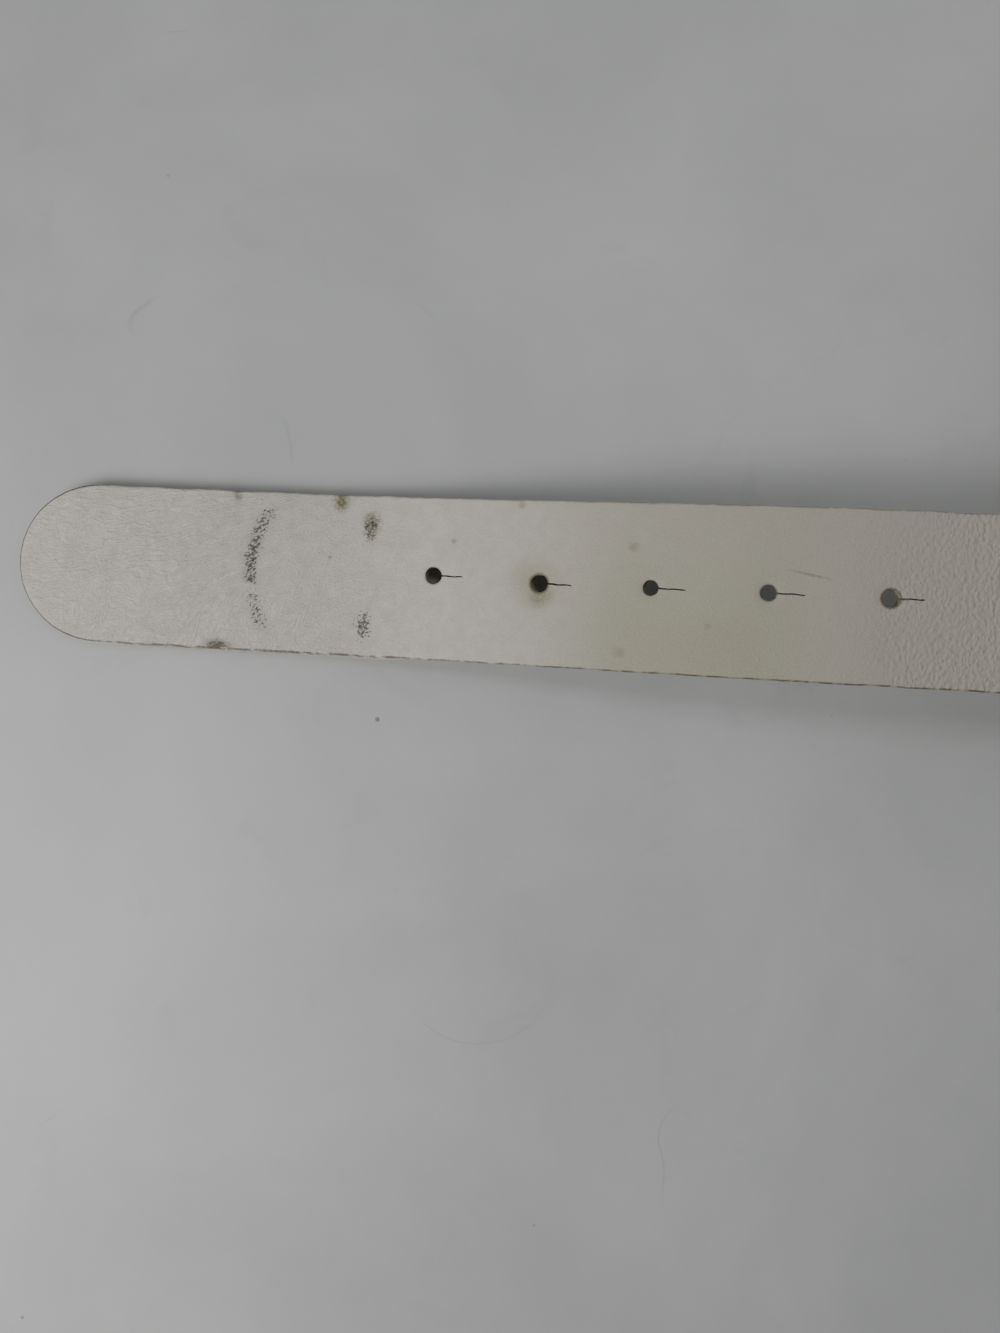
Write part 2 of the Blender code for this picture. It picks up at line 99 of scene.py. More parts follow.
def route():
    """Tables over s of the strap's middle line: place, along and through."""
    s = np.linspace(0, BAR_S, 4001)
    step = s[1] - s[0]
    middle = [sum(pair) / 2 for pair in (LOOP_START, CURL_START, CURL_END)]
    curl_turn = (middle[2] - middle[1]) / CURL_RADIUS
    loop_curve = (math.radians(TOTAL_TURN_DEG) - curl_turn) / (middle[1] - middle[0])
    curve = loop_curve * smooth(s, *LOOP_START)
    curve += (1 / CURL_RADIUS - loop_curve) * smooth(s, *CURL_START)
    curve -= smooth(s, *CURL_END) / CURL_RADIUS
    heading = running_sum(curve, step)
    height = HALF_THICKNESS + (HALF_WIDTH - HALF_THICKNESS) * smooth(s, *RISE)
    height += (PLATE_HEIGHT / 2 - HALF_WIDTH) * smooth(s, *END_LIFT)
    climb = np.arcsin(np.gradient(height, s))[:, None]
    turn = (np.radians(90) * smooth(s, *TWIST))[:, None]
    level = np.stack([np.cos(heading), np.sin(heading), 0 * s], axis=1)
    left = np.stack([-np.sin(heading), np.cos(heading), 0 * s], axis=1)
    up = np.array([0.0, 0.0, 1.0])
    along = level * np.cos(climb) + up * np.sin(climb)
    normal = up * np.cos(climb) - level * np.sin(climb)
    through = normal * np.cos(turn) - left * np.sin(turn)
    places = running_sum(along, step)
    places[:, 0] -= HALF_WIDTH
    places[:, 2] = height
    return s, places, along, through


ROUTE_S, PLACES, ALONG, THROUGH = route()


def unit(v):
    """Each vector divided by its length."""
    return v / np.linalg.norm(v, axis=-1, keepdims=True)


def look_up(table, s):
    """The table's vectors at s, by straight lines between its rows."""
    return np.stack([np.interp(s, ROUTE_S, table[:, axis]) for axis in range(3)], axis=-1)


def strap_point(s, w, n):
    """The place at (s, w, n): the middle line at s, plus w across and n through. Past both ends it runs straight."""
    s, w, n = np.broadcast_arrays(s, w, n)
    along = unit(look_up(ALONG, s))
    through = look_up(THROUGH, s)
    through = unit(through - along * np.sum(along * through, axis=-1, keepdims=True))
    across = np.cross(through, along)
    past = (np.maximum(s - BAR_S, 0) + np.minimum(s, 0))[..., None]
    return look_up(PLACES, s) + along * past + across * w[..., None] + through * n[..., None]


print("bar at", np.round(strap_point(BAR_S, 0, 0), 4))

# %% [markdown]
# ## Meshes from grids
#
# Every surface here is a rectangular grid of points. A grid can close on itself in either direction. One that
# closes only across is a tube, and its two open ends are capped. Points that coincide, such as the ends of a
# dome, are merged, so each mesh is one closed skin. Two UV maps go with every leather piece: **strap** holds (s,
# w), and **depth** holds (n, d), where d is the distance in from the cut edge. So a material knows where on the
# leather it is, even on the wall of a hole.


# %%
STRAP_UV = 10
DEPTH_UV = 100


def grid_faces(rows, columns, wrap_rows, wrap_columns):
    """Vertex indices of the quads of a grid, as an array of shape (quads, 4)."""
    i = np.arange(rows if wrap_rows else rows - 1)
    j = np.arange(columns if wrap_columns else columns - 1)
    a, b = np.meshgrid(i, j, indexing="ij")
    a2, b2 = (a + 1) % rows, (b + 1) % columns
    quads = np.stack([a * columns + b, a * columns + b2, a2 * columns + b2, a2 * columns + b], axis=-1)
    return quads.reshape(-1, 4)


def mesh_from_grid(name, points, material, wrap_rows=False, wrap_columns=True, uvs=None):
    """A mesh from points of shape (rows, columns, 3). uvs maps names to arrays of shape (rows, columns, 2)."""
    rows, columns, _ = points.shape
    faces = [tuple(f) for f in grid_faces(rows, columns, wrap_rows, wrap_columns).tolist()]
    if wrap_columns and not wrap_rows:
        faces.append(tuple(range(columns))[::-1])
        faces.append(tuple(range((rows - 1) * columns, rows * columns)))
    mesh = bpy.data.meshes.new(name)
    mesh.from_pydata(points.reshape(-1, 3).tolist(), [], faces)
    corner_vertex = np.zeros(len(mesh.loops), np.int32)
    mesh.loops.foreach_get("vertex_index", corner_vertex)
    for key, values in (uvs or {}).items():
        layer = mesh.uv_layers.new(name=key)
        layer.data.foreach_set("uv", values.reshape(-1, 2)[corner_vertex].astype(np.float32).ravel())
    mesh.materials.append(material)
    made = bpy.data.objects.new(name, mesh)
    bpy.context.scene.collection.objects.link(made)
    tidy_mesh(made)
    return made


def tidy_mesh(made, sharp_deg=40):
    """Merges points that coincide, drops faces with no area, turns every face outwards and shades it smooth."""
    bm = bmesh.new()
    bm.from_mesh(made.data)
    bmesh.ops.remove_doubles(bm, verts=bm.verts, dist=2e-6)
    bmesh.ops.dissolve_degenerate(bm, edges=bm.edges, dist=1e-7)
    bmesh.ops.recalc_face_normals(bm, faces=bm.faces)
    open_edges = sum(1 for e in bm.edges if len(e.link_faces) != 2)
    bm.to_mesh(made.data)
    bm.free()
    made.data.shade_smooth()
    made.data.set_sharp_from_angle(angle=math.radians(sharp_deg))
    print(made.name, len(made.data.polygons), "faces", open_edges, "open edges")


def strap_uvs(s, w, n, d):
    """The two maps of a leather piece: (s, w) times STRAP_UV, and (n, d) times DEPTH_UV."""
    s, w, n, d = np.broadcast_arrays(s, w, n, d)
    return {"strap": np.stack([s, w], axis=-1) * STRAP_UV, "depth": np.stack([n, d], axis=-1) * DEPTH_UV}


def transform(points, matrix):
    """Points given in the matrix's frame, moved to the scene's frame."""
    m = np.array(matrix)
    return points @ m[:3, :3].T + m[:3, 3]


def strap_matrix(s, w=0.0, n=0.0):
    """The strap's own frame at (s, w, n): X along it, Y across it and Z out of its face."""
    here = strap_point(s, w, n)
    x = unit(strap_point(s, w, n + 0.001) - here)
    y = unit(strap_point(s, w + 0.001, n) - here)
    matrix = np.eye(4)
    matrix[:3, :3] = np.stack([np.cross(y, x), y, x], axis=1)
    matrix[:3, 3] = here
    return matrix


print("frame at the bar", np.round(strap_matrix(BAR_S)[:3, 0], 3))

# %% [markdown]
# ## Shader sums written as Python
#
# `Socket` wraps one output of a node. Adding, multiplying or comparing sockets makes the maths nodes, so a
# material reads like a formula. Every other node comes from `Build.add`.


# %%
class Socket:
    """One number, colour or vector in a material."""

    def __init__(self, build, output):
        self.build = build
        self.output = output

    def maths(self, operation, *others):
        return self.build.maths(operation, self, *others)

    def __add__(self, other):
        return self.maths("ADD", other)

    def __radd__(self, other):
        return self.build.maths("ADD", other, self)

    def __sub__(self, other):
        return self.maths("SUBTRACT", other)

    def __rsub__(self, other):
        return self.build.maths("SUBTRACT", other, self)

    def __mul__(self, other):
        return self.maths("MULTIPLY", other)

    def __rmul__(self, other):
        return self.build.maths("MULTIPLY", other, self)

    def __truediv__(self, other):
        return self.maths("DIVIDE", other)

    def __abs__(self):
        return self.maths("ABSOLUTE")

    def high(self, other):
        return self.maths("MAXIMUM", other)


class Build:
    """A material being built, and the few ways of adding nodes to it."""

    def __init__(self, name):
        self.material = bpy.data.materials.new(name)
        self.material.use_nodes = True
        self.tree = self.material.node_tree
        self.tree.nodes.clear()

    def add(self, kind, settings=None, inputs=None, output=0):
        """Adds a node: its kind, its settings, then values or sockets for its inputs. Gives the chosen output."""
        node = self.tree.nodes.new("ShaderNode" + kind)
        for key, value in (settings or {}).items():
            setattr(node, key, value)
        for key, value in (inputs or {}).items():
            if isinstance(value, Socket):
                self.tree.links.new(value.output, node.inputs[key])
            else:
                node.inputs[key].default_value = value
        return Socket(self, node.outputs[output]) if node.outputs else None

    def maths(self, operation, *values):
        """One maths node."""
        return self.add("Math", {"operation": operation}, dict(enumerate(values)))

    def split(self, vector):
        """The three numbers of a vector."""
        return [self.add("SeparateXYZ", None, {0: vector}, output=axis) for axis in range(3)]

    def join(self, x=0.0, y=0.0, z=0.0):
        """A vector from three numbers."""
        return self.add("CombineXYZ", None, {0: x, 1: y, 2: z})

    def mix(self, first, second, share):
        """The first colour where share is 0 and the second where it is 1."""
        colours = {6: self.colour(first), 7: self.colour(second), 0: share}
        return self.add("Mix", {"data_type": "RGBA"}, colours, output=2)

    def colour(self, value):
        """A socket as it is, or three numbers made into an opaque colour."""
        return value if isinstance(value, Socket) else (*value, 1.0)

    def step(self, x, start, end):
        """0 before start and 1 after end, with a smooth step between. start may be the larger one."""
        settings = {"interpolation_type": "SMOOTHSTEP", "clamp": True}
        return self.add("MapRange", settings, {0: x, 1: start, 2: end, 3: 0.0, 4: 1.0})

    def noise(self, vector, scale, detail=2.0, rough=0.5, distortion=0.0):
        """Smooth random values about 0.5."""
        inputs = {"Vector": vector, "Scale": scale, "Detail": detail, "Roughness": rough, "Distortion": distortion}
        return self.add("TexNoise", None, inputs)

    def cells(self, vector, scale, feature="F1"):
        """Distance to the nearest point of a random scatter."""
        return self.add("TexVoronoi", {"feature": feature}, {"Vector": vector, "Scale": scale, "Randomness": 1.0})

    def bump(self, height, distance):
        """The normal of a surface raised by height, in units of distance metres."""
        return self.add("Bump", None, {"Height": height, "Distance": distance, "Strength": 1.0})

    def finish(self, **inputs):
        """The Principled shader with these inputs, wired to the surface."""
        named = {key.replace("_", " ").title().replace("Ior", "IOR"): value for key, value in inputs.items()}
        shader = self.add("BsdfPrincipled", None, named)
        self.add("OutputMaterial", None, {"Surface": shader})
        return self.material


print("shader helpers ready")

# %% [markdown]
# ## The leather's grain
#
# The material works in millimetres on the strap itself. The face is a warm white finish with a fine grain: long
# slanting wrinkles near the tip, a quiet middle, and round pebbles further along. The wrinkles fan out from one
# point, so they are noise stretched along lines from it: the noise reads the angle about that point finely and
# the distance from it coarsely.

# %%
MM = 1000
FACE_COLOUR = (0.570, 0.528, 0.472)
PALE_COLOUR = (0.675, 0.629, 0.569)
FALLOFF_SHADE_COLOUR = (0.385, 0.358, 0.306)
TINT_COLOUR = (0.350, 0.340, 0.245)
GRAIN_SHADE_COLOUR = (0.290, 0.255, 0.210)
EDGE_COLOUR = (0.070, 0.046, 0.032)
CORE_COLOUR = (0.150, 0.100, 0.070)
LINING_COLOUR = (0.640, 0.605, 0.555)
SCUFF_COLOUR = (0.045, 0.042, 0.040)
OLIVE_COLOUR = (0.140, 0.128, 0.048)
RING_COLOUR = (0.100, 0.085, 0.045)
SCRATCH_COLOUR = (0.200, 0.190, 0.165)
SCRAPE_COLOUR = (0.160, 0.112, 0.070)
HALO_COLOUR = (0.250, 0.245, 0.120)
EDGE_HIGHLIGHT_COLOUR = (0.700, 0.655, 0.600)
WRINKLE_CENTRE = (84.0, 25.0)
WRINKLE_FAN = 45.0
MARK_SPECKS = (
    ((53.0, 18.2), (1.8, 3.0), 0.70), ((78.2, 17.3), (3.0, 3.6), 1.00), ((122.0, 17.8), (1.6, 1.6), 0.50),
    ((148.2, 8.9), (2.0, 1.8), 0.40), ((165.3, -7.9), (1.1, 1.1), 0.30), ((106.2, 9.0), (1.0, 1.0), 0.55),
    ((76.0, 4.0), (0.8, 0.8), 0.45), ((146.0, -14.6), (2.2, 1.8), 0.30),
)  # fmt: skip
ARC_CENTRE = (85.2, 0.0)
ARC_RADIUS = 28.4


def strap_coordinates(build):
    """s, w, n and edge distance in millimetres, from the piece's two UV maps."""
    along = build.add("UVMap", {"uv_map": "strap"})
    depth = build.add("UVMap", {"uv_map": "depth"})
    s, w, _ = build.split(along)
    n, d, _ = build.split(depth)
    return s * (MM / STRAP_UV), w * (MM / STRAP_UV), n * (MM / DEPTH_UV), d * (MM / DEPTH_UV)


def near(s, w, place, size, turn_deg=0.0):
    """How far (s, w) is from place, in units of size along and across a frame turned by turn_deg."""
    c, k = math.cos(math.radians(turn_deg)), math.sin(math.radians(turn_deg))
    ds, dw = s - place[0], w - place[1]
    x = (ds * c + dw * k) / size[0]
    y = (dw * c - ds * k) / size[1]
    return (x * x + y * y).maths("SQRT")


def leather_grain(build, s, w, n):
    """Height in millimetres of the face's grain, how pebbled it is, and a mask for painted shade in its creases."""
    flat = build.join(s, w, n)
    warp = build.noise(flat, 0.06, 1.0) * 9.0
    ds, dw = s - WRINKLE_CENTRE[0], w - WRINKLE_CENTRE[1]
    turn = build.maths("ARCTAN2", dw, ds) * WRINKLE_FAN
    reach = (ds * ds + dw * dw).maths("SQRT")
    wrinkle = build.noise(build.join(turn * 1.15 + warp * 0.8, reach * 0.30, n), 0.62, 4.0, 0.62, 0.25)
    lines = abs(wrinkle - 0.5) * -2.0 + 1.0
    net = build.noise(build.join(s * 0.7 + w * 0.4, w - s * 0.25, n), 1.10, 4.0, 0.66, 0.3)
    net = abs(net - 0.5) * -2.0 + 1.0
    tip = build.step(s, 95.0, 50.0)
    mix = lines * (tip * 0.55 + 0.10) + net * (0.90 - tip * 0.55)
    pebble = build.step(s - w * 0.12 + build.noise(flat, 0.09) * 26.0, 202.0, 234.0)
    stone = build.join(s + build.noise(flat, 0.5) * 1.2, w * 0.72, n)
    round_cells = build.cells(stone, 1.30, "SMOOTH_F1")
    fine = build.noise(flat, 2.6, 3.0, 0.6)
    quiet = build.step(s, 45.0, 110.0)
    far = build.step(s, 225.0, 270.0)
    height = mix * (-0.900 + quiet * 0.760) * (1.0 - far * 0.4) + fine * (0.060 - far * 0.03)
    height = height + pebble * (round_cells * (far * 0.14 - 0.29))
    crease_shade = build.step(mix, 0.74, 0.96) * (1.0 - quiet * 0.5)
    return height, pebble, crease_shade, round_cells


print("grain ready")

# %% [markdown]
# ## The marks of use
#
# The wear is placed where use puts it. The buckle's flap has rubbed an arc across the tail, its lugs have rubbed
# two small patches, and the stud has stained the hole that is used the most. A scuff is a strength broken into
# specks.


# %%
def stain(build, s, w, place, size, turn_deg=0.0):
    """A stain's strength: 1 at its middle, 0 from its outline outwards."""
    return build.step(near(s, w, place, size, turn_deg), 1.0, 0.15)


def broken(build, strength, grit):
    """A strength broken into specks: where it is strong, most of the grit passes, and where it is weak, little."""
    return build.step(grit + strength * 0.30, 0.72, 0.83)


def arc_scuff(build, s, w):
    """The rubbed arc: a band about a circle centred past it, densest above the middle line, with one gap."""
    radius = near(s, w, ARC_CENTRE, (1.0, 1.0))
    line = build.step(abs(radius - ARC_RADIUS), 3.6, 0.2)
    ends = build.step(abs(w - 0.8), 16.4, 13.2) * build.step(s, 72.0, 64.0)
    gap = build.step(abs(w + 4.2), 0.4, 1.6)
    weight = build.step(abs(w - 3.0), 11.0, 3.0) * 0.16 + 0.84
    return line * ends * gap * weight


HOLE_MARKS = ((0.45, 0.50), (0.90, 0.80), (0.40, 0.40), (0.55, 0.45), (0.90, 0.65))
HOLE_SIZES = (1.0, 1.0, 0.88, 0.90, 0.98)


def hole_rims(build, s, w):
    """Dirt round each hole, as a thin ring whose strength and width differ from hole to hole."""
    total = None
    for index, (strength, width) in enumerate(HOLE_MARKS):
        centre = ((FIRST_HOLE_S + index * HOLE_PITCH) * MM, 0.0 if index else FIRST_HOLE_W * MM)
        radius = near(s, w, centre, (1.0, 1.0))
        rim = HOLE_RADIUS * MM * HOLE_SIZES[index]
        ring = build.step(radius, rim + width, rim) * strength
        total = ring if total is None else total.high(ring)
    return total


print("marks ready")

# %% [markdown]
# ## The leather material
#
# The face's colour comes first, with painted shade darkening the middle of the tail and the grain's creases, then
# the marks of use from the arc to the scratch. After them come the edge paint with pale dashes of painted highlight,
# the three layers of the cut edge, the lining, and the walls of the holes.


# %%
def leather_material():
    """White finished leather on the face, three layers on the edge, suede on the back, the wear, and painted shade
    and highlight.
    """
    build = Build("white_leather_worn")
    s, w, n, d = strap_coordinates(build)
    flat = build.join(s, w, n)
    height, pebble, crease_shade, round_cells = leather_grain(build, s, w, n)
    cloud = build.noise(flat, 0.022, 2.0)
    mottle = build.noise(flat, 0.35, 4.0, 0.6)
    colour = build.mix(FACE_COLOUR, PALE_COLOUR, build.step(mottle, 0.25, 0.75))
    # Painted shade: the face darkens from about 58 mm along the tail and comes back by 280 mm, standing in for the
    # light falling off towards the right.
    colour = build.mix(colour, FALLOFF_SHADE_COLOUR, build.step(s, 58.0, 185.0) * build.step(s, 280.0, 215.0) * 0.95)
    yellow = build.step(s, 122.0, 150.0) * build.step(s, 196.0, 172.0)
    yellow = yellow * (build.step(w + cloud * 24.0, 24.0, 2.0) * 0.6 + 0.4)
    colour = build.mix(colour, TINT_COLOUR, yellow * 0.85)
    # Painted shade: the face is darkened in the grain's creases and between the pebbles, where the relief is low.
    colour = build.mix(colour, GRAIN_SHADE_COLOUR, crease_shade * 0.13 + pebble * build.step(round_cells, 0.50, 0.90) * 0.10)

    slanted = build.join(s * 0.9 + w * 0.5, (w * 0.9 - s * 0.5) * 1.5, n)
    grit = build.noise(slanted, 1.25, 4.0, 0.7)
    soft = build.step(build.noise(flat, 1.2, 3.0), 0.25, 0.6)
    arc = arc_scuff(build, s, w)
    colour = build.mix(colour, SCUFF_COLOUR, arc * 0.16)
    colour = build.mix(colour, SCUFF_COLOUR, broken(build, arc, grit) * 0.88)
    upper = stain(build, s, w, (85.8, 10.8), (3.6, 6.4), 8)
    lower = stain(build, s, w, (85.0, -11.8), (4.2, 7.4), 4)
    colour = build.mix(colour, OLIVE_COLOUR, stain(build, s, w, (86.1, 12.4), (3.3, 4.2)) * soft * 0.9)
    colour = build.mix(colour, SCUFF_COLOUR, broken(build, upper.high(lower), grit) * 0.85)
    for place, size, strength in MARK_SPECKS:
        colour = build.mix(colour, OLIVE_COLOUR, stain(build, s, w, place, size) * (soft * 0.6 + 0.4) * strength)
    scrape = stain(build, s, w, (49.5, -18.1), (5.2, 2.4))
    colour = build.mix(colour, SCRAPE_COLOUR, scrape * 0.75)
    colour = build.mix(colour, SCUFF_COLOUR, broken(build, scrape, grit) * 0.7)
    used = (FIRST_HOLE_S + HOLE_PITCH) * MM
    halo = stain(build, s, w, (used - 1.2, 0.0), (8.5, 9.0))
    smear = stain(build, s, w, (used + 0.4, -3.4), (4.4, 3.0), 20)
    colour = build.mix(colour, HALO_COLOUR, halo * 0.46)
    colour = build.mix(colour, OLIVE_COLOUR, smear * (soft * 0.5 + 0.5) * 0.50)
    scratch = near(s, w, (186.2, 4.3), (6.4, 0.42), -11)
    colour = build.mix(colour, SCRATCH_COLOUR, build.step(scratch, 1.0, 0.3) * soft * 0.75)
    colour = build.mix(colour, RING_COLOUR, hole_rims(build, s, w))

    wobble = build.noise(build.join(s, w * 0.2, 0.0), 0.3, 3.0) - 0.5
    painted = build.step(d + wobble * 0.25, 0.62, 0.32) * build.step(n, -0.65, -0.5)
    dash = build.noise(build.join(s * 0.55, w * 0.02, n * 0.2), 0.60, 3.0, 0.65)
    tip_edge = build.step(s, 24.0, 12.0)
    painted = painted * build.step(dash + tip_edge * 0.25, 0.28, 0.60)
    painted = painted * (tip_edge.high(build.step(w, 4.0, -4.0) * 0.78) * 0.70 + 0.30)
    # Painted highlight: pale dashes along the rounded edge, strongest on the lower edge up to about 100 mm from the
    # tip, standing in for light catching the edge.
    edge_highlight = build.step(d, 0.60, 0.40) * build.step(n, -0.65, -0.5) * build.step(dash, 0.47, 0.38)
    edge_highlight = edge_highlight * (build.step(s, 104.0, 90.0) * build.step(w, 4.0, -4.0) * 0.50 + 0.06)
    core = build.step(abs(n + wobble * 0.1), 0.48, 0.38) * build.step(d, 0.7, 0.5)
    lining = build.step(n, -0.5, -0.62)
    colour = build.mix(colour, EDGE_HIGHLIGHT_COLOUR, edge_highlight * (1.0 - tip_edge) * 0.7)
    colour = build.mix(colour, EDGE_COLOUR, painted * 0.92)
    colour = build.mix(colour, CORE_COLOUR, core)
    fibre = build.noise(flat, 3.0, 5.0, 0.75)
    back = build.mix(LINING_COLOUR, (0.470, 0.435, 0.390), fibre)
    colour = build.mix(colour, back, lining)
    inside = build.step(d, -0.5, -0.8)
    wall = build.mix((0.200, 0.180, 0.135), (0.480, 0.440, 0.365), build.step(fibre, 0.35, 0.75))
    colour = build.mix(colour, wall, inside)

    suede = build.step(n, -1.45, -1.7)
    relief = height * (1.0 - suede) + fibre * suede * 0.09
    rough = 0.47 + mottle * 0.10 - pebble * 0.13
    rough = rough + lining * 0.25 + core * 0.2 + inside * 0.2
    normal = build.bump(relief, 0.001)
    return build.finish(base_color=colour, roughness=rough, normal=normal, specular_ior_level=0.45)


LEATHER = leather_material()
print("leather has", len(LEATHER.node_tree.nodes), "nodes")

# %% [markdown]
# ## The strap
#
# One ring of points goes round the strap's section: the face from edge to edge, the rounded shoulder, the three
# layers of the cut edge, and the back. A side point is given by its inset **d** from the outline and its height
# **n**. At the tip, a point at angle a on the outline's half circle lies at s = R - (R + e - d) cos a and w = (R
# - d) sin a, where R is half the width and e is how far the tip reaches past the half circle. At a = 0 the two
# sides meet.

# %%
SIDE_PROFILE = np.array(
    [
        (0.75, 1.800), (0.52, 1.790), (0.36, 1.745), (0.22, 1.655), (0.12, 1.51), (0.06, 1.31), (0.04, 0.95),
        (0.05, 0.58), (0.14, 0.45), (0.11, 0.30), (0.08, 0.05), (0.11, -0.30), (0.16, -0.46), (0.03, -0.62),
        (-0.03, -0.95), (-0.03, -1.25), (0.03, -1.50), (0.15, -1.68), (0.34, -1.775), (0.62, -1.80),
    ]
)  # fmt: skip
SIDE_PROFILE = SIDE_PROFILE / 1000
FAR_FROM_EDGE = 0.009
TIP_STEPS = 44
LIP_REACH = 0.00055
HOLE_SINK = 0.00028
SINK_RADIUS = 0.0012
WAVES = 12


def ripple(s, w, wavelength, amplitude, seed):
    """A smooth random surface: twelve plane waves of about one wavelength, in random directions, added up."""
    rng = np.random.default_rng(seed)
    total = 0.0
    for _ in range(WAVES):
        angle, phase = rng.uniform(0, 2 * np.pi, 2)
        k = 2 * np.pi / (wavelength * rng.uniform(0.7, 1.6))
        total = total + np.sin(k * (s * np.cos(angle) + w * np.sin(angle)) + phase)
    return total * amplitude / WAVES**0.5


def hole_centres():
    """(s, w) of the five holes."""
    s = FIRST_HOLE_S + HOLE_PITCH * np.arange(5)
    return np.stack([s, np.array([FIRST_HOLE_W, 0, 0, 0, 0])], axis=1)


def section_ring(profile, columns):
    """A section ring as arrays c, d and n. c is -1 or 1 on the two sides and follows columns on the faces."""
    inner = columns[1:-1]
    d, n = (
        np.concatenate([np.full(len(columns), v[0]), v[1:], np.full(len(inner), v[-1]), v[::-1][:-1]])
        for v in profile.T
    )
    sides = np.ones(len(profile) - 1)
    return np.concatenate([columns, sides, inner[::-1], -sides]), d, n


def strap_surface(name, stations, columns, rounded_tip=False):
    """A length of strap over the given stations. With a rounded tip, the first stations are angles on its arc."""
    c, d, n = section_ring(SIDE_PROFILE, columns)
    straight = np.broadcast_to(stations[:, None], (len(stations), len(c)))
    if rounded_tip:
        angle = np.linspace(0, np.pi / 2, TIP_STEPS)[:, None]
        s_tip = HALF_WIDTH - (HALF_WIDTH + TIP_REACH - d)[None] * np.cos(angle)
        w_tip = c[None] * (HALF_WIDTH - d)[None] * np.sin(angle)
        s = np.concatenate([s_tip, straight[1:]])
        w = np.concatenate([w_tip, np.broadcast_to(c * (HALF_WIDTH - d), (len(stations) - 1, len(c)))])
    else:
        s = straight.copy()
        w = np.broadcast_to(c * (HALF_WIDTH - d), s.shape)
    side = np.abs(c)[None] >= 1
    beside = np.sign(w) * 0.01
    worn = ripple(s, beside, 0.011, 0.00005, 3) + ripple(s, beside, 0.003, 0.00003, 4)
    lip = LIP_REACH * smooth(s, 0.016, 0.030) * (1 - smooth(s, 0.088, 0.100)) * (w < 0) * (n < -0.0005)
    w = w + np.where(side, (worn + lip) * np.sign(w), 0)
    top = np.broadcast_to(n > 0.0010, s.shape)
    height = ripple(s, w, 0.022, 0.00005, 1) + ripple(s, w, 0.008, 0.000015, 2)
    for centre in hole_centres():
        radius = np.hypot(s - centre[0], w - centre[1])
        height = height - HOLE_SINK * np.exp(-((np.maximum(radius / SINK_RADIUS - 1, 0)) ** 2))
    lift = np.where(top, height, 0)
    uvs = strap_uvs(s, w, n, np.where(side, d[None], FAR_FROM_EDGE))
    return mesh_from_grid(name, strap_point(s, w, n + lift), LEATHER, uvs=uvs)


def spans(*parts):
    """Stations through several (start, end, step) spans, each starting where the last one ended."""
    values = [np.linspace(a, b, max(2, int(round((b - a) / step)) + 1)) for a, b, step in parts]
    return np.concatenate([values[0]] + [v[1:] for v in values[1:]])


print("strap surface ready")

# %% [markdown]
# ## The stud holes
#
# Each hole is a punched circle with a slit on the side away from the tip, so that the stud can pass. A closed
# prism with this keyhole outline is cut out of the strap, and brings its own maps: on a wall, d is negative.

# %%
SLIT_SHARES = (0.94, 1.02, 1.05, 1.04, 0.92)
SLIT_TILTS_DEG = (-0.5, -2.0, -1.8, -1.6, 0.0)
SLIT_POINTS = 12
SLIT_HALF_WIDTH = 0.00020
SLIT_END_HALF_WIDTH = 0.00006
SLIT_MOUTH = 0.125
CIRCLE_POINTS = 56
CUTTER_HALF_HEIGHT = 0.003
WALL_DEPTH = -0.001


def slit_outline(index):
    """A keyhole's outline: most of a circle, then a thin slit with a slightly ragged, tapering edge."""
    rng = np.random.default_rng(20 + index)
    angle = np.linspace(SLIT_MOUTH, 2 * np.pi - SLIT_MOUTH, CIRCLE_POINTS)
    size = HOLE_RADIUS * HOLE_SIZES[index]
    radius = size * (1 + 0.02 * np.sin(3 * angle + rng.uniform(0, 6)) + 0.012 * np.sin(7 * angle))
    circle = np.stack([radius * np.cos(angle), radius * np.sin(angle)], axis=1)
    x = np.linspace(size + 0.0001, HOLE_RADIUS + SLIT_LENGTH * SLIT_SHARES[index], SLIT_POINTS)
    share = (x - x[0]) / (x[-1] - x[0])
    tilt = math.tan(math.radians(SLIT_TILTS_DEG[index]))
    centre = tilt * (x - x[0]) + 0.00005 * np.sin(share * 9 + index) + rng.normal(0, 0.000018, SLIT_POINTS)
    half = SLIT_HALF_WIDTH - 0.00005 * share + rng.normal(0, 0.000015, SLIT_POINTS)
    half[-1] = SLIT_END_HALF_WIDTH
    lower = np.stack([x, centre - np.abs(half)], axis=1)
    upper = np.stack([x, centre + np.abs(half)], axis=1)[::-1]
    return np.concatenate([circle, lower, upper])


def keyhole_cutter(index):
    """A prism through the strap with a keyhole's outline."""
    outline = slit_outline(index) + hole_centres()[index]
    s, w = outline[None, :, 0], outline[None, :, 1]
    n = np.array([[-CUTTER_HALF_HEIGHT], [CUTTER_HALF_HEIGHT]])
    uvs = strap_uvs(s, w, n, WALL_DEPTH)
    return mesh_from_grid(f"keyhole_{index + 1}", strap_point(s, w, n), LEATHER, uvs=uvs)


def cut(target, cutters):
    """Cuts the cutters out of the target, keeps the result as the target's own mesh, and removes the cutters."""
    for cutter in cutters:
        modifier = target.modifiers.new(cutter.name, "BOOLEAN")
        modifier.operation = "DIFFERENCE"
        modifier.solver = "EXACT"
        modifier.object = cutter
    graph = bpy.context.evaluated_depsgraph_get()
    mesh = bpy.data.meshes.new_from_object(target.evaluated_get(graph))
    target.modifiers.clear()
    target.data = mesh
    for cutter in cutters:
        bpy.data.objects.remove(cutter, do_unlink=True)
    mesh.shade_smooth()
    mesh.set_sharp_from_angle(angle=math.radians(40))
    print(target.name, "cut:", len(mesh.polygons), "faces")


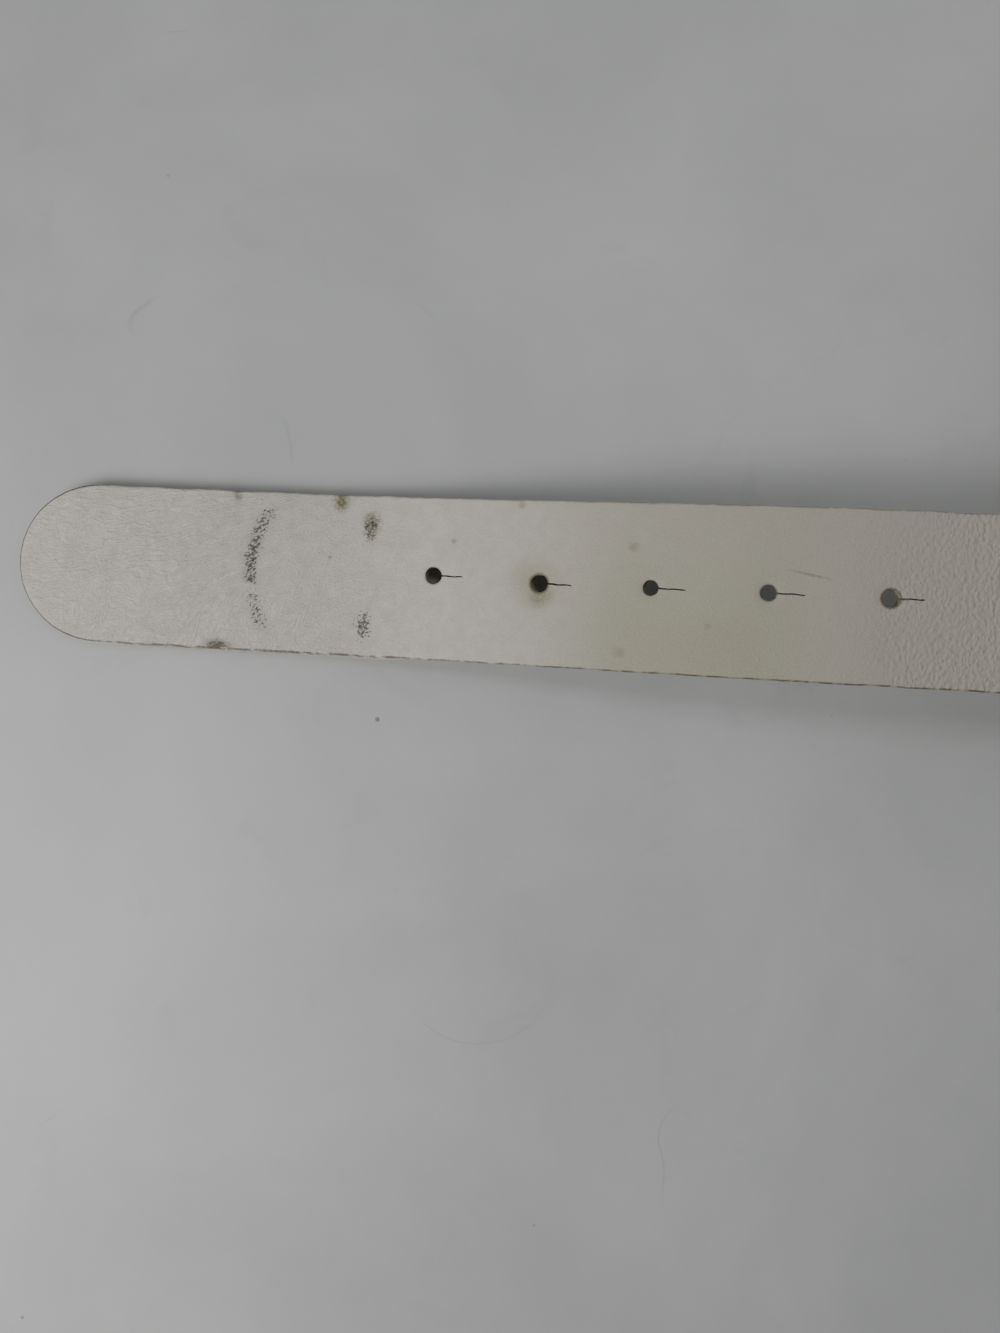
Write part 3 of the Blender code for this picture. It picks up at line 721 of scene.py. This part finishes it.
TAIL_SEAM_S, LOOP_SEAM_S = 0.430, 0.745
fine = spans((-1, -0.25, 0.75 / 11), (-0.25, 0.25, 0.025), (0.25, 1, 0.75 / 11))
plain = np.linspace(-1, 1, 25)
tail_spans = ((HALF_WIDTH, 0.095, 0.0013), (0.095, 0.214, 0.0005), (0.214, TAIL_SEAM_S, 0.0018))
strap_tail = strap_surface("strap_tail", spans(*tail_spans), fine, rounded_tip=True)
cut(strap_tail, [keyhole_cutter(index) for index in range(5)])
strap_loop = strap_surface("strap_loop", spans((TAIL_SEAM_S, LOOP_SEAM_S, 0.0022)), plain)
strap_end = strap_surface("strap_end", spans((LOOP_SEAM_S, BAR_S - 0.006, 0.0020)), plain)

# %% [markdown]
# ## Two metals
#
# The buckle is pale brass with a brushed face: fine streaks along the plate, soft patches of tarnish, small pits
# and a few straight scratches. The hinge bar, snaps and staple are nickel-plated steel.

# %%
PLATE_LENGTH = 0.057
PLATE_CORNER = 0.009
PLATE_BACK_N = 0.0029
PLATE_OVERLAP = 0.008
PLATE_MIDDLE_S = BAR_S - PLATE_OVERLAP + PLATE_LENGTH / 2
BAR_N = -0.0015
STUD_S = BAR_S + 0.041
METAL_UV = 10
LUG_W = 0.0115
LUG_HALF_WIDTH = 0.00175
LUG_RADIUS = 0.0032
LUG_FLARE = 1.25


def metal_material(name, base, dull, brush, rough, worn):
    """A metal with brushed streaks, tarnish that gathers in soft patches, pits and a few straight scratches."""
    build = Build(name)
    x, y, z = build.split(build.add("UVMap", {"uv_map": "metal"}))
    where = build.add("TexCoord", None, None, output=3)
    streak = build.noise(build.join(x * 8.0, y * 520.0, z), 1.0, 3.0, 0.6)
    slow = build.noise(where, 28.0, 3.0, 0.5)
    patch = build.noise(where, 150.0, 5.0, 0.65)
    fine = build.noise(where, 1200.0, 3.0)
    tarnish = build.step(slow + patch * 0.5, 0.66, 1.00) * worn
    pits = build.step(build.cells(where, 420.0), 0.16, 0.06) * build.step(patch, 0.50, 0.62)
    lines = build.noise(build.join(x * 26.0 + y * 9.0, y * 1.4 - x * 0.5, z), 3.0, 1.0) - 0.5
    scratch = build.step(abs(lines), 0.006, 0.002) * build.step(build.noise(where, 60.0, 1.0), 0.50, 0.60)
    colour = build.mix(base, dull, tarnish * 0.45 + streak * brush * 0.16 + pits * 0.5)
    roughness = rough + tarnish * 0.14 + streak * brush * 0.12 - scratch * 0.10
    relief = streak * brush * 0.024 + fine * 0.005 - scratch * 0.02 * worn - pits * 0.03
    normal = build.bump(relief, 0.001)
    return build.finish(base_color=colour, metallic=1.0, roughness=roughness, normal=normal)


BRASS = metal_material("pale_brass_brushed", (0.74, 0.61, 0.38), (0.38, 0.28, 0.14), 1.0, 0.25, 1.0)
STEEL = metal_material("nickel_plate", (0.68, 0.67, 0.64), (0.40, 0.38, 0.34), 0.2, 0.20, 0.5)
print("metals ready")

# %% [markdown]
# ## The buckle plate
#
# The plate is a stack of rounded rectangles. Each one is the outline moved in by an inset, at a height given by a
# profile that runs from the back edge, over the rounded border, down into the field and slowly up to its middle.


# %%
def rounded_rectangles(insets, length, height, corner, steps=14, side_steps=10):
    """Outlines of shape (insets, points, 2): a rectangle with round corners, moved in by each inset."""
    insets = np.asarray(insets)[:, None]
    half_x, half_y = length / 2 - insets, height / 2 - insets
    radius = np.maximum(corner - insets, 0.0004)
    parts = []
    signs = ((1, 1), (-1, 1), (-1, -1), (1, -1))
    for index, (sx, sy) in enumerate(signs):
        angle = np.pi / 2 * (index + np.linspace(0, 1, steps))[None]
        x = sx * (half_x - radius) + radius * np.cos(angle)
        y = sy * (half_y - radius) + radius * np.sin(angle)
        parts.append(np.stack([x, y], axis=-1))
        nx, ny = signs[(index + 1) % 4]
        next_angle = np.pi / 2 * (index + 1)
        start = parts[-1][:, -1:]
        end_x = nx * (half_x - radius) + radius * math.cos(next_angle)
        end_y = ny * (half_y - radius) + radius * math.sin(next_angle)
        share = np.linspace(0, 1, side_steps + 2)[None, 1:-1, None]
        end = np.stack([end_x, end_y], axis=-1)
        parts.append(start + (end - start) * share)
    return np.concatenate(parts, axis=1)


def metal_piece(name, local, matrix, material, wrap_rows=False):
    """A metal mesh from points in the matrix's frame. Its flat map holds the frame's own x and y, times ten."""
    uvs = {"metal": local[..., :2] * METAL_UV}
    return mesh_from_grid(name, transform(local, matrix), material, wrap_rows, uvs=uvs)


PLATE_PROFILE = (
    (0.60, 0.00), (0.25, 0.08), (0.06, 0.30), (0.00, 0.60), (0.00, 1.55), (0.10, 1.95), (0.35, 2.25), (0.75, 2.42),
    (1.30, 2.48), (2.10, 2.47), (2.70, 2.36), (3.05, 2.15), (3.30, 1.98), (3.70, 1.90), (5.00, 1.92), (8.00, 2.02),
    (12.0, 2.14), (16.0, 2.22), (20.0, 2.26), (21.9, 2.27),
)  # fmt: skip


def buckle_plate():
    """The cast plate, as closed stacked outlines in the strap's frame at the plate's middle."""
    inset, height = np.array(PLATE_PROFILE).T / 1000
    outlines = rounded_rectangles(inset, PLATE_LENGTH, PLATE_HEIGHT, PLATE_CORNER)
    level = np.broadcast_to((PLATE_BACK_N + height)[:, None, None], (*outlines.shape[:2], 1))
    return metal_piece("plate", np.concatenate([outlines, level], axis=2), strap_matrix(PLATE_MIDDLE_S), BRASS)


def hinge_lug(name, w):
    """One ear of the hinge: a tongue out of the plate's back with a round end about the bar, its edges eased."""
    angle = np.linspace(np.pi, 2 * np.pi, 29)
    edge = np.array([0.0005, 0.0002, 0.0, 0.0, 0.0002, 0.0005])
    side = np.array([-1.0, -0.85, -0.6, 0.6, 0.85, 1.0]) * LUG_HALF_WIDTH
    radius = (LUG_RADIUS - edge)[:, None]
    x = radius * np.cos(angle)
    z = BAR_N + radius * np.sin(angle)
    root = np.full((len(edge), 1), PLATE_BACK_N + 0.0010)
    flare = LUG_FLARE * radius
    x = np.concatenate([x, flare, -flare], axis=1)
    z = np.concatenate([z, root, root], axis=1)
    y = np.broadcast_to(w + side[:, None], x.shape)
    return metal_piece(name, np.stack([x, y, z], axis=-1), strap_matrix(BAR_S), BRASS)


def turned_metal(name, profile_mm, matrix, material, ring=False, steps=64):
    """A turned piece from a profile of (radius, height) in millimetres. A ring's profile is closed on itself."""
    profile = np.array(profile_mm) / MM
    angle = np.linspace(0, 2 * np.pi, steps, endpoint=False)
    x = profile[:, 0, None] * np.cos(angle)
    y = profile[:, 0, None] * np.sin(angle)
    z = np.broadcast_to(profile[:, 1, None], x.shape)
    return metal_piece(name, np.stack([x, y, z], axis=-1), matrix, material, ring)


plate = buckle_plate()
lugs = [hinge_lug(f"hinge_lug_{side}", w) for side, w in (("lower", -LUG_W), ("upper", LUG_W))]

turn_to_z = np.eye(4)
turn_to_z[:3, :3] = [[1, 0, 0], [0, 0, 1], [0, -1, 0]]
bar_frame = strap_matrix(BAR_S, 0.0, BAR_N) @ turn_to_z
BAR_PROFILE = (
    (0.01, -13.10), (0.70, -13.07), (1.15, -12.95), (1.42, -12.70), (1.50, -12.30), (1.50, 12.30), (1.42, 12.70),
    (1.15, 12.95), (0.70, 13.07), (0.01, 13.10),
)  # fmt: skip
bar = turned_metal("bar", BAR_PROFILE, bar_frame, STEEL)

STUD_PROFILE = (
    (0.01, 3.9), (1.20, 3.9), (1.20, 2.74), (2.70, 2.74), (2.95, 2.62), (3.00, 2.40), (2.85, 2.18), (2.30, 1.92),
    (1.98, 1.60), (1.90, 1.20), (1.90, -1.90), (2.00, -2.15), (2.35, -2.55), (2.80, -2.95), (3.08, -3.40),
    (3.18, -3.90), (3.08, -4.40), (2.80, -4.85), (2.35, -5.15), (1.70, -5.35), (0.90, -5.44), (0.01, -5.46),
)  # fmt: skip
stud = turned_metal("stud", STUD_PROFILE, strap_matrix(STUD_S), BRASS)

# %% [markdown]
# ## The turned-back end
#
# Only the face leather goes on past the shoulder. It narrows to a neck, goes half round the bar, comes back along
# the strap, widens again and ends in a shallow arc. In the bar's own frame, a point at distance t along this
# leather lies at angle t / R round the bar, where R is the radius at the leather's middle.

# %%
FOLD_MIDDLE_RADIUS = 0.00255
FOLD_LENGTH = math.pi * FOLD_MIDDLE_RADIUS
FLAP_LENGTH = 0.030
FLAP_END_RADIUS = 0.029
NECK_HALF_WIDTH = 0.0092
NECK_START = -0.0075
SHOULDER = (0.0052, 0.0105)
LEATHER_MIDDLE_N = 0.00105
LEATHER_HALF_THICKNESS = 0.00075
LEATHER_PROFILE = np.array(
    [(0.60, 1.80), (0.36, 1.765), (0.17, 1.66), (0.05, 1.49), (0.0, 1.25), (0.0, 0.85), (0.05, 0.60), (0.17, 0.43),
     (0.34, 0.335), (0.58, 0.30)]
) / 1000  # fmt: skip


def folded_point(t, w, n):
    """The place at distance t past the bar along the turned leather, across it at w and through it at n."""
    radius = n - BAR_N
    angle = np.clip(t / FOLD_MIDDLE_RADIUS, 0, np.pi)
    before = np.minimum(t, 0)
    back = np.maximum(t - FOLD_LENGTH, 0)
    x = before + radius * np.sin(angle) - back
    z = BAR_N + radius * np.cos(angle)
    return transform(np.stack([x, w, z], axis=-1), strap_matrix(BAR_S))


def flap_half_width(u):
    """The flap's half width at distance u back from the bar: the neck, then a smooth shoulder to the full strap."""
    return NECK_HALF_WIDTH + (HALF_WIDTH - NECK_HALF_WIDTH) * smooth(u, *SHOULDER)


def leather_strip(name, t, half_width, end_arc=False):
    """A strip of the single leather along stations t, with eased edges, and a shallow arc at its end if asked."""
    c, d_ring, n_ring = section_ring(LEATHER_PROFILE, np.linspace(-1, 1, 21))
    t_grid = t[:, None] + 0 * c
    w_grid = c * (half_width[:, None] - d_ring)
    if end_arc:
        turn = np.linspace(math.asin(HALF_WIDTH / FLAP_END_RADIUS), 0, 16)[1:, None]
        reach = FLAP_END_RADIUS - d_ring
        start = FOLD_LENGTH + FLAP_LENGTH - FLAP_END_RADIUS
        t_grid = np.concatenate([t_grid, start + reach * np.cos(turn)])
        w_grid = np.concatenate([w_grid, c * reach * np.sin(turn)])
    n_grid = n_ring + ripple(t_grid, w_grid, 0.012, 0.00003, 11) * (n_ring > 0.0012)
    points = folded_point(t_grid, w_grid, n_grid)
    layer = (n_grid - LEATHER_MIDDLE_N) * (HALF_THICKNESS / LEATHER_HALF_THICKNESS)
    inset = np.where(np.abs(c) >= 1, d_ring, FAR_FROM_EDGE)
    return mesh_from_grid(name, points, LEATHER, uvs=strap_uvs(t_grid + BAR_S, w_grid, layer, inset))


half_fold = FOLD_LENGTH / 2
neck_t = spans((NECK_START, 0.0, 0.0007), (0.0, half_fold, 0.0002))
neck = leather_strip("neck", neck_t, np.full(len(neck_t), NECK_HALF_WIDTH))
arc_start = FOLD_LENGTH + FLAP_LENGTH - FLAP_END_RADIUS + math.sqrt(FLAP_END_RADIUS**2 - HALF_WIDTH**2)
wide = FOLD_LENGTH + 0.012
flap_t = spans((half_fold, FOLD_LENGTH, 0.0002), (FOLD_LENGTH, wide, 0.0004), (wide, arc_start, 0.0009))
flap = leather_strip("turned_flap", flap_t, flap_half_width(flap_t - FOLD_LENGTH), end_arc=True)

# %% [markdown]
# ## Snaps
#
# Each snap has a domed post on the strap's face, a stud behind the strap, a socket on the flap and a cap outside
# it.

# %%
SNAP_S = BAR_S - 0.017
SNAP_W = 0.009
POST = (
    (0.01, -2.5), (1.20, -2.5), (1.20, 1.95), (3.80, 1.95), (4.00, 2.02), (4.02, 2.14), (3.85, 2.30), (3.30, 2.46),
    (2.40, 2.58), (1.20, 2.65), (0.01, 2.67),
)  # fmt: skip
STUD = (
    (1.35, -1.95), (3.70, -1.95), (3.80, -2.02), (3.78, -2.20), (3.40, -2.32), (2.10, -2.38), (1.68, -2.55),
    (1.60, -2.95), (1.66, -3.35), (1.74, -3.70), (1.66, -4.05), (1.35, -4.25), (0.60, -4.25), (0.58, -3.05),
    (1.35, -3.00),
)  # fmt: skip
SOCKET = (
    (2.00, -3.15), (3.75, -3.15), (3.80, -3.05), (3.74, -2.88), (3.40, -2.70), (2.90, -2.64), (2.30, -2.66),
    (2.04, -2.78),
)  # fmt: skip
CAP = (
    (2.40, -3.45), (2.40, -4.93), (4.60, -4.95), (4.80, -5.03), (4.84, -5.20), (4.65, -5.42), (4.00, -5.70),
    (3.00, -5.92), (1.80, -6.06), (0.80, -6.10), (0.60, -6.04), (0.55, -5.80), (0.58, -5.40), (2.00, -5.36),
    (2.00, -3.45),
)  # fmt: skip

snaps = {}
for label, w in (("lower", -SNAP_W), ("upper", SNAP_W)):
    frame_here = strap_matrix(SNAP_S, w)
    snaps[f"snap_post_{label}"] = turned_metal(f"post_{label}", POST, frame_here, STEEL)
    for part, word, profile in (("stud", "snapstud", STUD), ("socket", "socket", SOCKET), ("cap", "cap", CAP)):
        snaps[f"snap_{part}_{label}"] = turned_metal(f"{word}_{label}", profile, frame_here, STEEL, ring=True)

# %% [markdown]
# ## Keeper and staple
#
# The keeper is a strip of leather bent round a rounded rectangle. It starts and ends at the middle of its inner
# side, where a wire staple holds the two ends together.

# %%
KEEPER_S = BAR_S - 0.044
KEEPER_LENGTH = 0.012
KEEPER_THICKNESS = 0.0013
KEEPER_ROOM = (STRAP_WIDTH + 0.0016, 0.0088)
KEEPER_MIDDLE_N = -0.0021
KEEPER_CORNER = 0.0014
KEEPER_UV_S = 0.61
BUTT_GAP = 0.00012
STAPLE_LEG_W = 0.0026
STAPLE_LEG_DEPTH = 0.0008
STAPLE_STAND_OFF = 0.0006
STAPLE_BEND = 0.0004
WIRE_RADIUS = 0.0003


def keeper_path(count=170):
    """Points and outward directions round the keeper's inner face, from the butt joint all the way round to it."""
    dense = rounded_rectangles([0.0], *KEEPER_ROOM, KEEPER_CORNER, steps=24, side_steps=60)[0]
    start = np.argmin(np.abs(dense[:, 0]) + (dense[:, 1] > 0) * 1.0)
    dense = np.roll(dense, -start, axis=0)
    dense = np.concatenate([dense, dense[:1]])
    run = np.concatenate([[0], np.cumsum(np.linalg.norm(np.diff(dense, axis=0), axis=1))])
    at = np.linspace(BUTT_GAP, run[-1] - BUTT_GAP, count)
    points, ahead, behind = (
        np.stack([np.interp(at + shift, run, dense[:, axis]) for axis in range(2)], axis=1)
        for shift in (0, 1e-5, -1e-5)
    )
    tangent = unit(ahead - behind)
    return at, points, np.stack([tangent[:, 1], -tangent[:, 0]], axis=1)


def keeper_band():
    """The strip of leather, 12 mm wide, with eased edges, swept along the keeper's path."""
    at, points, outward = keeper_path()
    d = np.array([0.5, 0.25, 0.1, 0.02, 0.0, 0.02, 0.1, 0.25, 0.5]) / 1000
    level = np.array([0.0, 0.03, 0.14, 0.32, 0.65, 0.98, 1.16, 1.27, 1.30]) / 1000
    half = KEEPER_LENGTH / 2
    inner = np.linspace(-1, 1, 9)[1:-1]
    x = np.concatenate([half - d, inner[::-1] * (half - 0.0005), -(half - d)[::-1], inner * (half - 0.0005)])
    high = np.concatenate([level, np.full(7, level[-1]), level[::-1], np.full(7, 0.0)])
    inset = np.concatenate([d, np.full(7, FAR_FROM_EDGE), d, np.full(7, FAR_FROM_EDGE)])
    shape = (len(at), len(x))
    flat = points[:, None] + outward[:, None] * high[None, :, None]
    local = np.stack([np.broadcast_to(x, shape), flat[..., 0], flat[..., 1] + KEEPER_MIDDLE_N], axis=-1)
    points = transform(local, strap_matrix(KEEPER_S))
    layer = (high / KEEPER_THICKNESS * 2 - 1) * HALF_THICKNESS
    return mesh_from_grid("keeper", points, LEATHER, uvs=strap_uvs(at[:, None] + KEEPER_UV_S, x, layer, inset))


def wire(name, path, radius, matrix, material, steps=16):
    """A round wire along a flat path of (w, n) points in the frame's plane x = 0."""
    tangent = unit(np.gradient(path, axis=0))
    sideways = np.stack([tangent[:, 1], -tangent[:, 0]], axis=1)
    angle = np.linspace(0, 2 * np.pi, steps, endpoint=False)
    x = np.broadcast_to(radius * np.cos(angle), (len(path), steps))
    flat = path[:, None] + sideways[:, None] * (radius * np.sin(angle))[None, :, None]
    return metal_piece(name, np.stack([x, flat[..., 0], flat[..., 1]], axis=-1), matrix, material)


keeper = keeper_band()
back_n = KEEPER_MIDDLE_N - KEEPER_ROOM[1] / 2 - KEEPER_THICKNESS
bend = np.linspace(0, np.pi / 2, 8)
corner_w = STAPLE_LEG_W + STAPLE_BEND * (np.sin(bend) - 1)
corner_n = back_n - STAPLE_STAND_OFF + STAPLE_BEND * (1 - np.cos(bend))
corner = np.stack([corner_w, corner_n], axis=1)
half_path = np.concatenate([[[0.0, corner_n[0]]], corner, [[STAPLE_LEG_W, back_n + STAPLE_LEG_DEPTH]]])
staple_path = np.concatenate([half_path[:0:-1] * [-1, 1], half_path])
staple = wire("staple", staple_path, WIRE_RADIUS, strap_matrix(KEEPER_S), STEEL)

# %% [markdown]
# ## Floor, light and camera
#
# The belt lies on a pale matt board with a few specks and hairline scratches. A large soft light stands on the
# near left, two weaker ones stand high up and on the far right, and the room adds a little light from everywhere.
# The camera looks almost straight down on the tail.


# %%
BOARD_EDGES = (-6.0, 6.0)
ROOM_COLOUR = (0.81, 0.83, 0.84, 1.0)
ROOM_STRENGTH = 0.115
LENS_MM = 30.65
CAMERA_PLACE = (0.1210, -0.0107, 0.2690)
CAMERA_TURN_DEG = (-1.66, 4.90, 2.98)


def board_material():
    """A pale, faintly blue board: slow cloudy variation, a few dark specks and thin scratches."""
    build = Build("pale_board")
    where = build.add("TexCoord", None, None, output=3)
    cloud = build.noise(where, 9.0, 5.0, 0.6, 0.4)
    grey = build.mix((0.404, 0.416, 0.409), (0.504, 0.517, 0.510), build.step(cloud, 0.2, 0.8))
    smudge = build.step(build.noise(where, 38.0, 4.0, 0.65, 1.0), 0.56, 0.74)
    colour = build.mix(grey, (0.400, 0.410, 0.408), smudge * 0.40)
    speck = build.cells(where, 62.0)
    dots = build.step(speck, 0.048, 0.022) * build.step(build.noise(where, 17.0, 1.0), 0.56, 0.60)
    colour = build.mix(colour, (0.10, 0.10, 0.095), dots * 0.7)
    swirl = build.noise(where, 5.0, 1.0, 0.5, 1.2) - 0.5
    hair = build.step(abs(swirl), 0.0009, 0.0003) * build.step(build.noise(where, 23.0, 1.0), 0.57, 0.63)
    colour = build.mix(colour, (0.33, 0.34, 0.34), hair * 0.50)
    relief = build.noise(where, 900.0, 3.0) * 0.4 + build.noise(where, 60.0, 2.0)
    normal = build.bump(relief, 0.00006)
    return build.finish(base_color=colour, roughness=0.42 + cloud * 0.12, normal=normal, specular_ior_level=0.35)


def soft_light(name, place, target, size, watts, colour=(0.99, 1.0, 1.0)):
    """A rectangular area light at place, facing target."""
    light = bpy.data.lights.new(name, "AREA")
    light.shape = "RECTANGLE"
    light.size, light.size_y = size
    light.energy = watts
    light.color = colour
    made = bpy.data.objects.new(name, light)
    bpy.context.scene.collection.objects.link(made)
    direction = Vector(place) - Vector(target)
    made.location = place
    made.rotation_euler = direction.to_track_quat("Z", "Y").to_euler()
    return made


floor_points = np.array([[[x, y, 0.0] for y in BOARD_EDGES] for x in BOARD_EDGES])
board = mesh_from_grid("board", floor_points, board_material(), wrap_columns=False)

soft_light("near_left", (-0.28, -0.23, 0.36), (0.03, 0.0, 0.0), (0.34, 0.34), 2.78, (1.0, 0.995, 0.98))
soft_light("far_right", (0.31, 0.33, 0.32), (0.20, 0.10, 0.0), (0.36, 0.26), 0.34)
soft_light("overhead", (0.18, 0.22, 0.50), (0.18, 0.02, 0.0), (0.16, 0.16), 0.48)
world = bpy.data.worlds.new("room")
world.use_nodes = True
room = world.node_tree.nodes["Background"].inputs
room["Color"].default_value = ROOM_COLOUR
room["Strength"].default_value = ROOM_STRENGTH
bpy.context.scene.world = world

camera_data = bpy.data.cameras.new("camera")
camera_data.lens = LENS_MM
camera = bpy.data.objects.new("camera", camera_data)
camera.location = CAMERA_PLACE
camera.rotation_euler = [math.radians(a) for a in CAMERA_TURN_DEG]
camera_data.clip_start = 0.01
bpy.context.scene.collection.objects.link(camera)
bpy.context.scene.camera = camera
print("camera at", tuple(round(x, 4) for x in camera.location))

# %% [markdown]
# ## Joining the pieces to the bodies
#
# Each new piece goes under its body, and the imported solids it stands for are hidden. The strap's three lengths and
# the flap are baked in place without a body; the strap's seams lie half way between the joints.


# %%
def middle(s):
    """The place on the strap's middle line at s."""
    return tuple(float(x) for x in strap_point(s, 0.0, 0.0))


middle(0.205)
middle(0.255)
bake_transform(strap_tail)
middle(0.560)
middle(0.640)
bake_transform(strap_loop)
middle(0.855)
middle(0.915)
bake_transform(strap_end)
for piece, section in ((strap_tail, "tail"), (strap_loop, "loop_outer"), (strap_end, "loop_inner")):
    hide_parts(*[f"{layer}_{section}" for layer in ("face", "core", "lining")])
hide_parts("core_end", "lining_end")


def outward_point(u, n):
    """The place at distance u back from the bar and n through the strap, as a plain tuple."""
    return tuple(float(x) for x in transform(np.array([-u, 0.0, n]), strap_matrix(BAR_S)))


flap_n = 2 * BAR_N - 0.00105
outward_point(0.0002, flap_n)
outward_point(0.0042, flap_n)
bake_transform(flap)
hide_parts("flap")
for piece, body, node, slot in (
    (neck, "buckle_end", "face_end", "white_leather"),
    (plate, "buckle", "buckle_plate", "pale_brass"),
    (lugs[0], "buckle", "buckle_plate", "pale_brass"),
    (lugs[1], "buckle", "buckle_plate", "pale_brass"),
    (bar, "buckle", "hinge_bar", "nickel_steel"),
    (stud, "buckle", "hook_stud", "pale_brass"),
    (keeper, "keeper", "keeper_band", "white_leather"),
    (staple, "keeper", "keeper_staple", "nickel_steel"),
):
    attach(piece, body)
    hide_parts(node)
for node, piece in snaps.items():
    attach(piece, "flap" if "cap" in node or "socket" in node else "buckle_end")
    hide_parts(node)
